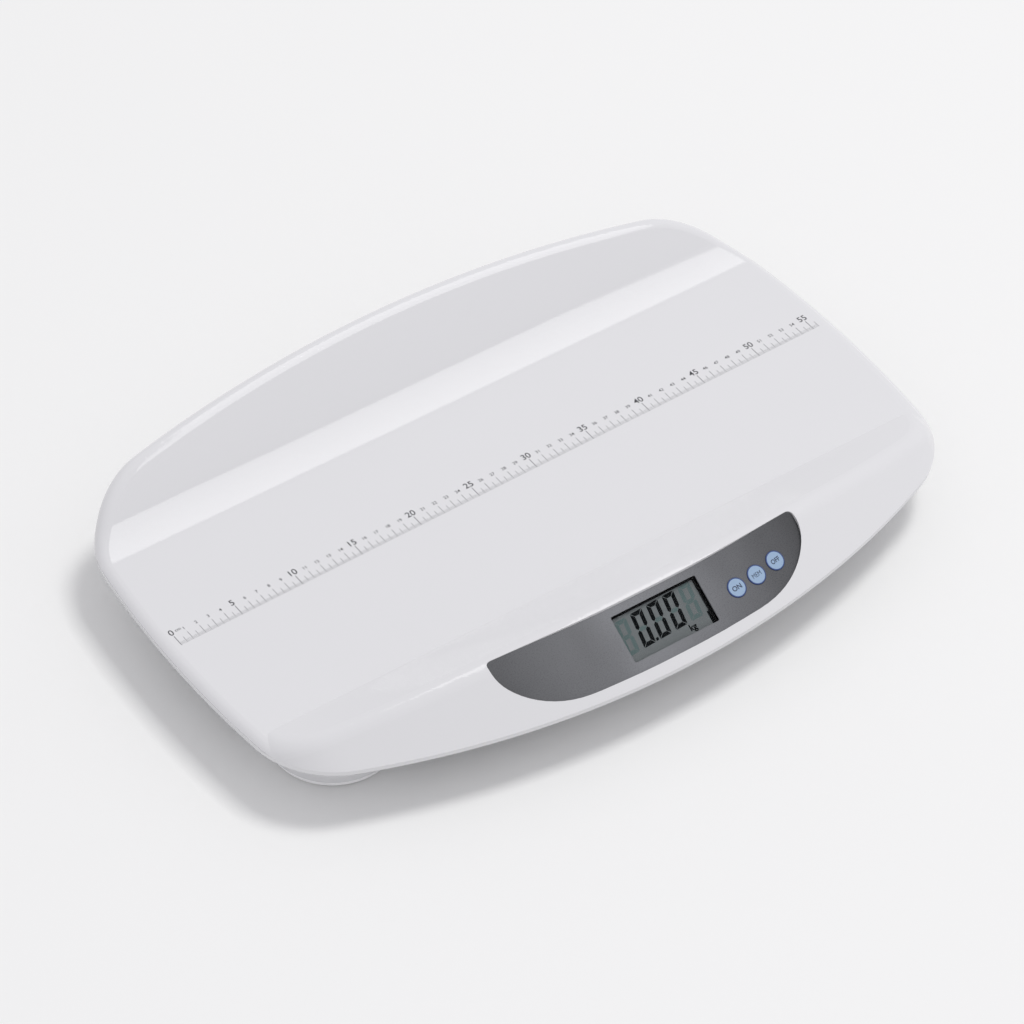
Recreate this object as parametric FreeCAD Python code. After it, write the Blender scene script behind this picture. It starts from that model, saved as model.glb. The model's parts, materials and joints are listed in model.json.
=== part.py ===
import FreeCAD, Part
import math
import os
from FreeCAD import Vector as V

os.makedirs("parts", exist_ok=True)

# ------------------------------------------------------------------
# Driving dimensions, millimetres. X runs along the tray, -Y is the
# display side, +Z is up, the feet stand on z = 0.
# ------------------------------------------------------------------
Z_TOP = 48.0          # weighing platform
Z_PART = 44.0         # parting line between top and bottom shell
Z_SPLIT = 0.25        # shadow gap at the parting line
Z_BASE = 16.0         # flat underside of the bottom shell
WALL = 2.6            # top shell wall
WALL_B = 2.4          # bottom shell wall

Y_FRONT, R_FRONT = -192.0, 637.0    # front outline arc
X_SIDE, R_SIDE, Y_SIDE = 290.0, 900.0, 12.3
Y_BACK, R_BACK = 192.0, 1350.0
R_CF, R_CB = 72.0, 75.0             # corner radii, front and back

APRON = math.radians(34.5)          # slope of the display side
Y_FOLD = -85.2                      # where the front ridge starts
RIDGE_K = 0.565                     # rise of the front ridge at the middle
RIDGE_DROP = 0.15                   # loss of rise at x = 200
Y_REAR = 109.8                      # where the back curve starts
REAR_R = 40.0
REAR_A = math.radians(39.0)
RIM_R = 9.0
CREST_R = 16.0

PANEL = math.radians(32.0)          # slope of the display panel
Y_PANEL, Z_PANEL = -188.7, 45.4     # a point of the panel face, extended
PANEL_T = 1.1
PAD_T = 2.9                         # shelf of the top shell below the panel

POD_F = (216.0, -77.0)              # foot centres
POD_B = (212.0, 96.0)
POD_R = 47.0
Z_POD = 6.0
FOOT_R = 45.5
FOOT_TRAVEL = 0.5

BTN_X = (61.1, 79.7, 98.3)
BTN_Y = (-165.2, -163.6, -161.0)
BTN_R = 7.2
BTN_PROUD = 0.6
BTN_TRAVEL = 0.8

LCD_Y = -162.5
LCD_X = 1.5                         # the window is a little right of the middle
LCD_W, LCD_H = 71.4, 35.6           # window

CELL_R, CELL_L = 7.15, 50.2         # AA cell
BAY_Y = 30.0
BAY_X, BAY_W = 58.0, 61.4

# ------------------------------------------------------------------
# helpers
# ------------------------------------------------------------------


def box(x0, x1, y0, y1, z0, z1):
    return Part.makeBox(x1 - x0, y1 - y0, z1 - z0, V(x0, y0, z0))


def cyl(x, y, z0, z1, r):
    return Part.makeCylinder(r, z1 - z0, V(x, y, z0))


def fuse(parts):
    s = parts[0]
    if len(parts) > 1:
        s = s.multiFuse(parts[1:])
    return s


def one(shape):
    """the largest solid of a shape"""
    sol = sorted(shape.Solids, key=lambda s: s.Volume)
    return sol[-1]


def circ_tan(c1, r1, c2, r2):
    dx, dy = c2[0] - c1[0], c2[1] - c1[1]
    d = math.hypot(dx, dy)
    a = (r1 * r1 - r2 * r2 + d * d) / (2 * d)
    h = math.sqrt(max(r1 * r1 - a * a, 0.0))
    mx, my = c1[0] + a * dx / d, c1[1] + a * dy / d
    p = (mx + h * dy / d, my - h * dx / d)
    q = (mx - h * dy / d, my + h * dx / d)
    return p if p[0] > q[0] else q


def arcs(fi, si, bi, rf, rb):
    """right half of the plan outline, front middle to back middle"""
    F = ((0.0, Y_FRONT + R_FRONT), R_FRONT - fi)
    S = ((X_SIDE - R_SIDE, Y_SIDE), R_SIDE - si)
    B = ((0.0, Y_BACK - R_BACK), R_BACK - bi)
    cf = circ_tan(F[0], F[1] - rf, S[0], S[1] - rf)
    cb = circ_tan(B[0], B[1] - rb, S[0], S[1] - rb)

    def ang(c, p):
        return math.atan2(p[1] - c[1], p[0] - c[0])
    a1, a2, a3, a4 = ang(F[0], cf), ang(S[0], cf), ang(S[0], cb), ang(B[0], cb)
    return [(F[0], F[1], -math.pi / 2, a1), (cf, rf, a1, a2),
            (S[0], S[1], a2, a3), (cb, rb, a3, a4),
            (B[0], B[1], a4, math.pi / 2)]


COUNT = [22, 16, 22, 16, 22]


def plan_wire(z, *o):
    half = []
    segs = arcs(*o)
    for (c, r, a0, a1), n in zip(segs, COUNT):
        for i in range(n):
            a = a0 + (a1 - a0) * i / n
            half.append((c[0] + r * math.cos(a), c[1] + r * math.sin(a)))
    c, r, a0, a1 = segs[-1]
    half.append((0.0, c[1] + r))
    pts = half + [(-x, y) for x, y in half[1:-1]][::-1]
    crv = Part.BSplineCurve()
    crv.interpolate(Points=[V(x, y, z) for x, y in pts], PeriodicFlag=True)
    return Part.Wire([crv.toShape()])


def wall_body(t=0.0, low=0.0):
    """solid inside the apron and the side walls, t = wall to leave"""
    ws = []
    tf = math.tan(APRON)
    lift = [0, 8, 16, 26, 38, 56]
    if low:
        lift = [-low] + lift
    for h in lift:
        ws.append(plan_wire(Z_PART + h,
                            h / tf + t / math.sin(APRON),
                            h * 0.20 + t * 1.02, h * 0.07 + t,
                            72 - h * 0.85 - t * 0.8, 75 - h * 0.1 - t * 0.8))
    return Part.makeLoft(ws, True, False)


def rear_profile(dz=0.0, zlow=20.0):
    """flat platform with the back curve, lowered by the wall dz"""
    z = Z_TOP - dz
    yv = Y_REAR + REAR_R * math.tan(REAR_A / 2) + dz * math.tan(REAR_A / 2)
    rr = REAR_R + dz
    ys = yv - rr * math.tan(REAR_A / 2)
    p0 = V(0, ys, z)
    pm = V(0, ys + rr * math.sin(REAR_A / 2), z + rr - rr * math.cos(REAR_A / 2))
    p1 = V(0, ys + rr * math.sin(REAR_A), z + rr - rr * math.cos(REAR_A))
    ye = 230.0
    pe = V(0, ye, p1.z + (ye - p1.y) * math.tan(REAR_A))
    a, b, d = V(0, -230, zlow), V(0, -230, z), V(0, ye, zlow)
    e = [Part.makeLine(a, b), Part.makeLine(b, p0),
         Part.Arc(p0, pm, p1).toShape(), Part.makeLine(p1, pe),
         Part.makeLine(pe, d), Part.makeLine(d, a)]
    f = Part.Face(Part.Wire(e))
    f.translate(V(-320, 0, 0))
    return f.extrude(V(640, 0, 0))


def ridge_profile(dz=0.0, zlow=20.0):
    """front ridge, its rise falls off toward both ends"""
    ws = []
    for x in (-320, -160, 0, 160, 320):
        k = RIDGE_K - RIDGE_DROP * (x / 200.0) ** 2
        n = dz * math.sqrt(1 + k * k)
        ws.append(Part.makePolygon([
            V(x, Y_FOLD, zlow), V(x, Y_FOLD, Z_TOP - n),
            V(x, -230, Z_TOP - n + k * (Y_FOLD + 230)),
            V(x, -230, zlow), V(x, Y_FOLD, zlow)]))
    return Part.makeLoft(ws, True, False)


def fillet(s, r, pick):
    es = [e for e in s.Edges if pick(e, e.BoundBox)]
    q = s.makeFillet(r, es)
    return one(q)


def skin(t):
    """outer (t = 0) or inner surface solid of the top shell"""
    B = wall_body(t, 12.0)
    a = one(rear_profile(t).common(B))
    a = fillet(a, RIM_R - 0.85 * t, lambda e, b: b.ZMin > Z_TOP - t - 0.1
               and b.YMax - b.YMin > 0.01)
    b = one(ridge_profile(t).common(B))
    b = fillet(b, CREST_R - t, lambda e, b: b.ZMax > 60 and b.ZMin > Z_TOP - t * 1.3 - 0.1)
    return a, b


def cone(apex_z, slope, d=0.0):
    """solid under a cone about the axis of the front outline"""
    top = apex_z - d / math.cos(slope)
    h = 420.0
    c = Part.makeCone(h / math.tan(slope), 0.0, h, V(0, 0, 0))
    c.translate(V(0, Y_FRONT + R_FRONT, top - h))
    return c


PANEL_APEX = Z_PANEL + (Y_FRONT + R_FRONT - Y_PANEL) * math.tan(PANEL)
N0 = V(0, -math.sin(PANEL), math.cos(PANEL))
E0 = V(0, math.cos(PANEL), math.sin(PANEL))
O0 = V(0, LCD_Y, PANEL_APEX - (Y_FRONT + R_FRONT - LCD_Y) * math.tan(PANEL))


def loc(x, v, d):
    """point at x, v up the slope from the display middle, d below the panel"""
    return O0 + V(x, 0, 0) + E0 * v - N0 * d


PL0 = FreeCAD.Placement(O0, FreeCAD.Rotation(V(1, 0, 0), math.degrees(PANEL)))


def pbox(x0, x1, v0, v1, d0, d1):
    """box in the panel frame, d measured downward"""
    s = Part.makeBox(x1 - x0, v1 - v0, d1 - d0, V(x0, v0, -d1))
    s.Placement = PL0
    return s


def pcyl(x, v, d0, d1, r):
    s = Part.makeCylinder(r, d1 - d0, V(x, v, -d1))
    s.Placement = PL0
    return s


def vslope(y):
    """v of a plan position y on the panel plane"""
    return (y - LCD_Y) / math.cos(PANEL)


def panel_prism(g, z0=30.0, z1=110.0):
    """D shaped panel outline, g = growth"""
    top = [(0, -142.4), (50, -141.1), (100, -136.7), (125, -133.9)]
    side = [(129.3, -138.1), (127.7, -149.0), (120.4, -159.5), (104, -171.8),
            (83, -179.6), (57, -182.9), (30, -184.6), (0, -185.1)]

    def grow(p, n):
        return V(p[0] + n[0] * g, p[1] + n[1] * g, z0)
    t = [(-x, y) for x, y in top[1:][::-1]] + top
    tp = []
    for x, y in t:
        a = x / 900.0
        tp.append(grow((x, y), (-math.sin(a), math.cos(a))))
    s = side[:-1] + [side[-1]] + [(-x, y) for x, y in side[:-1][::-1]]
    sp = []
    for i, (x, y) in enumerate(s):
        x0, y0 = s[max(i - 1, 0)]
        x1, y1 = s[min(i + 1, len(s) - 1)]
        tx, ty = x1 - x0, y1 - y0
        m = math.hypot(tx, ty)
        sp.append(grow((x, y), (-ty / m, tx / m)))
    # growth always points away from the middle of the panel
    cx, cy = 0.0, -165.0
    sp2 = []
    for (x, y), p in zip(s, sp):
        dx, dy = p.x - x, p.y - y
        if (dx * (x - cx) + dy * (y - cy)) * g < 0:
            dx, dy = -dx, -dy
        sp2.append(V(x + dx, y + dy, z0))
    c1 = Part.BSplineCurve()
    c1.interpolate(Points=tp)
    c2 = Part.BSplineCurve()
    c2.interpolate(Points=sp2)
    r0 = Part.BSplineCurve()
    r0.interpolate(Points=[tp[-1], V((tp[-1].x + sp2[0].x) / 2 + 1.1, (tp[-1].y + sp2[0].y) / 2 + 1.0, z0), sp2[0]])
    r1 = Part.BSplineCurve()
    r1.interpolate(Points=[sp2[-1], V((tp[0].x + sp2[-1].x) / 2 - 1.1, (tp[0].y + sp2[-1].y) / 2 + 1.0, z0), tp[0]])
    w = Part.Wire([c1.toShape(), r0.toShape(), c2.toShape(), r1.toShape()])
    return Part.Face(w).extrude(V(0, 0, z1 - z0))


def pipe(points, bend, r):
    """round cable through points, straight runs joined by tangent arcs"""
    edges = []
    cur = points[0]
    for i in range(1, len(points) - 1):
        p, q = points[i], points[i + 1]
        a = (cur - p).normalize()
        b = (q - p).normalize()
        ang = a.getAngle(b)
        turn = math.pi - ang
        t = bend * math.tan(turn / 2)
        s, e = p + a * t, p + b * t
        bis = (a + b).normalize()
        c = p + bis * (bend / math.cos(turn / 2))
        m = c + (p - c).normalize() * bend
        if (s - cur).Length > 1e-6:
            edges.append(Part.makeLine(cur, s))
        edges.append(Part.Arc(s, m, e).toShape())
        cur = e
    edges.append(Part.makeLine(cur, points[-1]))
    w = Part.Wire(edges)
    d = (points[1] - points[0]).normalize()
    prof = Part.Wire([Part.makeCircle(r, points[0], d)])
    s = w.makePipeShell([prof], True, False)
    return s


NODES = {}


def keep(name, shape):
    NODES[name] = shape


# ------------------------------------------------------------------
# top shell
# ------------------------------------------------------------------
SCREWS = [(-130, -108), (130, -108), (-245, 8), (245, 8), (-130, 142),
          (130, 142), (-64, 84), (64, 84)]
Z_BOSS = 30.0

out_a, out_b = skin(0.0)
in_a, in_b = skin(WALL)
outer = one(out_a.fuse(out_b))
inner = in_a.fuse(in_b)
shell = outer.cut(inner)
lipcut = box(-320, 320, -230, 230, Z_PART - 40, Z_PART)
shell = one(shell.cut(lipcut))

# display shelf below the recess
limit_low = Part.Face(plan_wire(36.0, 3.3, 3.3, 3.3, 68.7, 71.7)).extrude(V(0, 0, 9.5))
shelf = panel_prism(2.4).common(cone(PANEL_APEX, PANEL, 0.6))
shelf = shelf.cut(cone(PANEL_APEX, PANEL, PANEL_T + PAD_T))
above = shelf.common(box(-320, 320, -230, 230, Z_PART, 120)).common(outer)
below = shelf.common(limit_low).common(box(-320, 320, -230, 230, 30, Z_PART))
tray = fuse([shell, above, below])
tray = tray.cut(panel_prism(0.0, 20.0).cut(cone(PANEL_APEX, PANEL, PANEL_T)))

# window, lens rebate, button holes
W2, H2 = LCD_W / 2, LCD_H / 2
tray = tray.cut(pbox(LCD_X - W2 - 0.4, LCD_X + W2 + 0.4, -H2 - 0.4, H2 + 0.4, -2, 12))
tray = tray.cut(pbox(LCD_X - W2 - 2.3, LCD_X + W2 + 2.3, -H2 - 2.3, H2 + 2.3, -2, 2.85))
btn_v = [vslope(y) for y in BTN_Y]


def face_depth(x, v):
    """depth of the curved panel face below its middle tangent plane"""
    lo, hi = -2.0, 12.0
    for _ in range(60):
        d = (lo + hi) / 2
        p = loc(x, v, d)
        z = PANEL_APEX - math.hypot(p.x, p.y - (Y_FRONT + R_FRONT)) * math.tan(PANEL)
        if p.z > z:
            lo = d
        else:
            hi = d
    return (lo + hi) / 2


for x, v in zip(BTN_X, btn_v):
    f = face_depth(x, v)
    tray = tray.cut(pcyl(x, v, -3, 14, BTN_R + 0.35))
    tray = tray.cut(pcyl(x, v, f + PANEL_T + 1.3, 14, BTN_R + 1.45))

# posts for the board
D_PCB = 10.8
T_PCB = 1.6
POSTS = [(-51.0, 15.0), (-51.0, -15.0), (112.0, 10.0), (112.0, -14.0)]
for x, v in POSTS:
    f = face_depth(x, v)
    tray = tray.fuse(pcyl(x, v, f + PANEL_T + PAD_T - 0.6, D_PCB, 2.9))
for x, v in POSTS:
    tray = tray.cut(pcyl(x, v, D_PCB - 3.4, D_PCB + 1, 0.95))

# ribs and screw bosses
ribs = []
ZR = Z_TOP - WALL + 0.4
for y in (-60.0, -18.0, 78.0):
    ribs.append(box(-262, 262, y - 0.8, y + 0.8, 38.5, ZR))
for x in (-245.0, -190.0, -130.0, -64.0, 64.0, 130.0, 190.0, 245.0):
    ribs.append(box(x - 0.8, x + 0.8, -60, 104, 38.5, ZR))
for x, y in SCREWS:
    ribs.append(cyl(x, y, Z_BOSS, ZR if y < 110 else 57.5, 4.2))
RISE = [(104, 38.5), (142, 38.5), (142, 60.0), (132.7, 53.5), (126, 49.8),
        (118, 47.2), (110, 46.2), (104, 46.0), (104, 38.5)]
for x in (-130.0, 130.0):
    ribs.append(box(x - 0.8, x + 0.8, -108, -60, 38.5, ZR))
    web = Part.Face(Part.makePolygon([V(x - 0.8, y, z) for y, z in RISE]))
    ribs.append(web.extrude(V(1.6, 0, 0)))
ribset = fuse(ribs)
tray = tray.fuse(ribset)
for x, y in SCREWS:
    tray = tray.cut(cyl(x, y, Z_BOSS - 1, Z_BOSS + 11, 1.2))
tray = one(tray)
keep("tray_cover", tray)

# ------------------------------------------------------------------
# bottom shell
# ------------------------------------------------------------------
SECT = [(Z_PART - Z_SPLIT, 0.25), (Z_PART - 4.2, 0.6), (35.5, 4.2), (29.5, 11.5),
        (23.5, 22.0), (18.8, 34.0), (Z_BASE, 47.0)]
SECT_IN = [(Z_PART + 2, 2.65), (Z_PART - 4.2, 3.0), (36.7, 5.6), (31.5, 12.6),
           (26.0, 22.4), (21.4, 34.0), (Z_BASE + WALL_B, 47.0)]


def bowl(sec):
    lo, hi = sec[:2], sec[1:]
    a = Part.makeLoft([plan_wire(z, i, i, i, 72 - i, 75 - i) for z, i in lo[::-1]], True, True)
    b = Part.makeLoft([plan_wire(z, i, i, i, 72 - i, 75 - i) for z, i in hi[::-1]], True, False)
    return a.fuse(b)


bo = bowl(SECT)
bi = bowl(SECT_IN)
PODS = {"fl": (-POD_F[0], POD_F[1]), "fr": (POD_F[0], POD_F[1]),
        "rl": (-POD_B[0], POD_B[1]), "rr": (POD_B[0], POD_B[1])}
solid_pods = []
hollow_pods = []
for x, y in PODS.values():
    c = Part.makeCone(POD_R, POD_R + 3.0, 30 - Z_POD, V(x, y, Z_POD))
    solid_pods.append(c)
    c = Part.makeCone(POD_R - WALL_B, POD_R + 3.0 - WALL_B, 30 - Z_POD, V(x, y, Z_POD + WALL_B))
    hollow_pods.append(c)
base = fuse([bo] + solid_pods)
hollow = fuse([bi] + [h.common(box(-320, 320, -230, 230, 0, 29)) for h in hollow_pods])
top_lim = box(-320, 320, -230, 230, Z_PART - Z_SPLIT, 90)
base = base.cut(hollow).cut(top_lim)

add = []
sub = []
# screw columns
for x, y in SCREWS:
    add.append(cyl(x, y, Z_BASE + 0.5, Z_BOSS, 5.4))
    sub.append(cyl(x, y, Z_BASE - 1, 24.0, 3.3))
    sub.append(cyl(x, y, Z_BASE - 1, Z_BOSS + 1, 1.6))
# battery bay
bx, bw = BAY_X / 2, BAY_W / 2
ZB_ROOF = 35.2
add.append(box(-bx - 2, bx + 2, BAY_Y - bw - 2, BAY_Y + bw + 2, Z_BASE, ZB_ROOF))
sub.append(box(-bx, bx, BAY_Y - bw, BAY_Y + bw, Z_BASE - 1, ZB_ROOF - 2))
# slots in the bay roof for the solder tags
PITCH = BAY_W / 4
Y_TAG = (BAY_Y - BAY_W / 2 + PITCH * 0.5, BAY_Y - BAY_W / 2 + PITCH * 3.5)
sub.append(box(26.9, 28.1, Y_TAG[0] - 1.9, Y_TAG[0] + 1.9, ZB_ROOF - 3, ZB_ROOF + 1))
sub.append(box(28.2, 29.4, Y_TAG[1] - 1.9, Y_TAG[1] + 1.9, ZB_ROOF - 3, ZB_ROOF + 1))
# door rails below the flat underside
DOOR_Z0, DOOR_Z1 = Z_BASE - 2.5, Z_BASE - 0.3
DX = bx + 4.0
for s in (-1, 1):
    rail = box(DX + 0.3, DX + 2.6, BAY_Y - bw - 3, BAY_Y + bw + 3, DOOR_Z0 - 1.6, Z_BASE + 0.2)
    rail = rail.fuse(box(DX - 1.6, DX + 0.4, BAY_Y - bw - 3, BAY_Y + bw + 3, DOOR_Z0 - 1.6, DOOR_Z0 - 0.3))
    if s < 0:
        rail = rail.mirror(V(0, 0, 0), V(1, 0, 0))
    add.append(rail)
add.append(box(-DX - 2.6, DX + 2.6, BAY_Y - bw - 5, BAY_Y - bw - 3.2, DOOR_Z0 - 1.6, Z_BASE + 0.2))
# load cell posts, pod floor opening for the foot
CELL_Z = 13.4
for x, y in PODS.values():
    sub.append(cyl(x, y, Z_POD - 1, Z_POD + WALL_B + 1, 13.0))
    for sx in (-1, 1):
        add.append(cyl(x + sx * 19.0, y, Z_POD + 1.0, CELL_Z, 4.0))
        sub.append(cyl(x + sx * 19.0, y, CELL_Z - 4.6, CELL_Z + 1, 1.2))
base = base.fuse(fuse(add))
base = base.cut(fuse(sub))
base = one(base)
keep("base_cover", base)

# ------------------------------------------------------------------
# display panel, lens, LCD stack
# ------------------------------------------------------------------
panel = panel_prism(-0.25, 20.0).common(cone(PANEL_APEX, PANEL, 0.0))
panel = panel.cut(cone(PANEL_APEX, PANEL, PANEL_T))
win = pbox(LCD_X - W2, LCD_X + W2, -H2, H2, -3, 12)
corners = [e for e in win.Edges if abs(e.Length - 15.0) < 1e-6]
panel = panel.cut(win.makeFillet(1.2, corners))
for x, v in zip(BTN_X, btn_v):
    panel = panel.cut(pcyl(x, v, -3, 14, BTN_R + 0.2))
keep("display_panel", one(panel))

lens = pbox(LCD_X - W2 - 2.0, LCD_X + W2 + 2.0, -H2 - 2.0, H2 + 2.0, 1.85, 2.85)
keep("window_lens", lens)

D_LCD = 4.8


def lbox(hx, v0, v1, d0, d1):
    """box centred on the window"""
    return pbox(LCD_X - hx, LCD_X + hx, v0, v1, d0, d1)


GX, GV, GT = 39.5, 20.0, 2.2
glass = lbox(GX, -GV, GV, D_LCD, D_LCD + GT)
keep("lcd_glass", glass)
D_G = D_LCD + GT
keep("lcd_reflector", lbox(37.0, -17.0, 17.0, D_G, D_G + 0.4))

frame = lbox(43.0, -21.9, 21.9, D_LCD + 0.1, D_PCB)
frame = frame.cut(lbox(GX, -GV, GV, D_LCD - 1, D_G))
frame = frame.cut(lbox(37.0, -17.0, 17.0, D_G - 1, D_G + 0.4))
frame = frame.cut(lbox(36.4, -15.4, 15.4, D_G + 1.6, D_PCB + 1))
for s in (-1, 1):
    v0, v1 = sorted((s * 17.4, s * 19.4))
    frame = frame.cut(lbox(36.0, v0, v1, D_G - 1, D_PCB + 1))
keep("lcd_frame", one(frame))

zs = []
for s in (-1, 1):
    v0, v1 = sorted((s * 17.4, s * 19.4))
    zs.append(lbox(36.0, v0, v1, D_G, D_PCB))
keep("zebra_strips", Part.makeCompound(zs))

# main board with parts
PX0, PX1, PV = -58.0, 118.0, 21.0
board = pbox(PX0, PX1, -PV, PV, D_PCB, D_PCB + T_PCB)
for x, v in POSTS:
    board = board.cut(pcyl(x, v, D_PCB - 1, D_PCB + T_PCB + 1, 1.5))
keep("main_board", one(board))
D_BOT = D_PCB + T_PCB
keep("board_chip", pbox(-8.0, 8.0, -6.0, 10.0, D_BOT, D_BOT + 2.0))
sm = []
for i, (x, v, a, b, h) in enumerate([(-22, -2, 3.2, 1.6, 0.9), (-22, 3, 3.2, 1.6, 0.9),
                                     (-22, 8, 3.2, 1.6, 0.9), (-28, 3, 4.0, 4.0, 1.8),
                                     (20, -3, 3.2, 1.6, 0.9), (20, 2, 3.2, 1.6, 0.9),
                                     (28, 0, 8.0, 3.4, 2.6), (44, -8, 3.2, 1.6, 0.9),
                                     (52, 4, 6.0, 3.2, 2.0), (66, -4, 3.2, 1.6, 0.9)]):
    sm.append(pbox(x - a / 2, x + a / 2, v - b / 2, v + b / 2, D_BOT, D_BOT + h))
keep("board_parts", Part.makeCompound(sm))

# tactile switches
SW_TOP = D_PCB - 2.6
sw = []
for x, v in zip(BTN_X, btn_v):
    s = pbox(x - 3, x + 3, v - 3, v + 3, D_PCB - 1.8, D_PCB)
    s = s.fuse(pcyl(x, v, SW_TOP, D_PCB - 1.7, 1.6))
    sw.append(one(s))
keep("tact_switches", Part.makeCompound(sw))

# push buttons: face follows the panel, flange below the shelf
BTN_NAMES = ["button_on", "button_memory", "button_off"]
SEAT = []
for nm, x, v in zip(BTN_NAMES, BTN_X, btn_v):
    f = face_depth(x, v)
    b = pcyl(x, v, f - 3, f + PANEL_T + 1.8, BTN_R)
    b = b.common(cone(PANEL_APEX, PANEL, -BTN_PROUD))
    top = [e for e in b.Edges if e.BoundBox.Center.z > b.BoundBox.Center.z and e.Length > 30]
    try:
        q = one(b.makeFillet(0.35, top[:1]))
        if q.isValid():
            b = q
    except Exception:
        pass
    b = b.fuse(pcyl(x, v, f + PANEL_T + 1.35, f + PANEL_T + 1.95, BTN_R + 1.1))
    b = b.fuse(pcyl(x, v, f + PANEL_T + 1.8, SW_TOP - BTN_TRAVEL - 0.1, 2.2))
    b = one(b)
    keep(nm, b)

# board screws
bs = []
for x, v in POSTS:
    s = pcyl(x, v, D_PCB - 3.2, D_BOT, 0.95)
    s = s.fuse(pcyl(x, v, D_BOT, D_BOT + 1.4, 2.0))
    s = s.cut(pbox(x - 1.3, x + 1.3, v - 0.3, v + 0.3, D_BOT + 0.8, D_BOT + 2))
    s = s.cut(pbox(x - 0.3, x + 0.3, v - 1.3, v + 1.3, D_BOT + 0.8, D_BOT + 2))
    bs.append(one(s))
keep("board_screws", Part.makeCompound(bs))

# plugs on the underside of the board
PLUG = {"fl": (-46.0, 4.0), "rl": (-36.0, 4.0), "fr": (92.0, 4.0),
        "rr": (78.0, 4.0), "bat": (37.5, 4.0)}
pl = []
for k, (x, v) in PLUG.items():
    pl.append(pbox(x - 3.6, x + 3.6, v - 3.0, v + 3.0, D_BOT, D_BOT + 5.0))
keep("board_plugs", Part.makeCompound(pl))

# ------------------------------------------------------------------
# load cells and feet
# ------------------------------------------------------------------
for k, (x, y) in PODS.items():
    c = box(x - 23, x + 23, y - 14, y + 14, CELL_Z, CELL_Z + 2.0)
    c = c.cut(box(x - 13.5, x - 9.5, y - 10.5, y + 10.5, CELL_Z - 1, CELL_Z + 3))
    c = c.cut(box(x + 9.5, x + 13.5, y - 10.5, y + 10.5, CELL_Z - 1, CELL_Z + 3))
    c = c.cut(box(x - 13.5, x + 13.5, y - 10.5, y - 7.5, CELL_Z - 1, CELL_Z + 3))
    c = c.fuse(cyl(x, y, CELL_Z - 0.6, CELL_Z + 0.5, 3.0))
    for sx in (-1, 1):
        c = c.cut(cyl(x + sx * 19.0, y, CELL_Z - 1, CELL_Z + 3, 1.4))
    keep("load_cell_" + k, one(c))
gz = []
for k, (x, y) in PODS.items():
    gz.append(box(x - 4.5, x + 4.5, y + 1.0, y + 9.0, CELL_Z + 2.0, CELL_Z + 3.0))
keep("strain_gauges", Part.makeCompound(gz))
cs = []
for k, (x, y) in PODS.items():
    for sx in (-1, 1):
        s = cyl(x + sx * 19, y, CELL_Z - 4.4, CELL_Z + 2.0, 1.2)
        s = s.fuse(cyl(x + sx * 19, y, CELL_Z + 2.0, CELL_Z + 3.6, 2.5))
        s = s.cut(box(x + sx * 19 - 1.6, x + sx * 19 + 1.6, y - 0.35, y + 0.35, CELL_Z + 2.9, CELL_Z + 4))
        s = s.cut(box(x + sx * 19 - 0.35, x + sx * 19 + 0.35, y - 1.6, y + 1.6, CELL_Z + 2.9, CELL_Z + 4))
        cs.append(one(s))
keep("cell_screws", Part.makeCompound(cs))
Z_STUD = CELL_Z - 0.6
for k, (x, y) in PODS.items():
    f = cyl(x, y, 1.0, 5.0, FOOT_R)
    lo = [e for e in f.Edges if e.BoundBox.ZMax < 1.1 and e.Length > 100]
    f = f.makeChamfer(0.8, lo)
    f = f.cut(cyl(x, y, 0.0, 2.2, 37.0))
    f = f.fuse(cyl(x, y, 4.5, Z_STUD - FOOT_TRAVEL - 0.05, 8.0))
    f = f.fuse(Part.makeCone(10.0, 8.0, 1.6, V(x, y, 4.9)))
    # snap collar above the floor of the pod
    f = f.fuse(cyl(x, y, Z_POD + WALL_B + 0.15, Z_POD + WALL_B + 1.5, 14.4))
    f = f.cut(box(x - 1.0, x + 1.0, y - 16, y + 16, Z_POD + WALL_B - 1.0, Z_POD + WALL_B + 1.6))
    keep("foot_" + k, one(f))
    p = cyl(x, y, 0.0, 2.2, 37.0)
    lo = [e for e in p.Edges if e.BoundBox.ZMax < 0.1 and e.Length > 100]
    p = p.makeChamfer(0.5, lo)
    keep("foot_pad_" + k, one(p))

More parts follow.
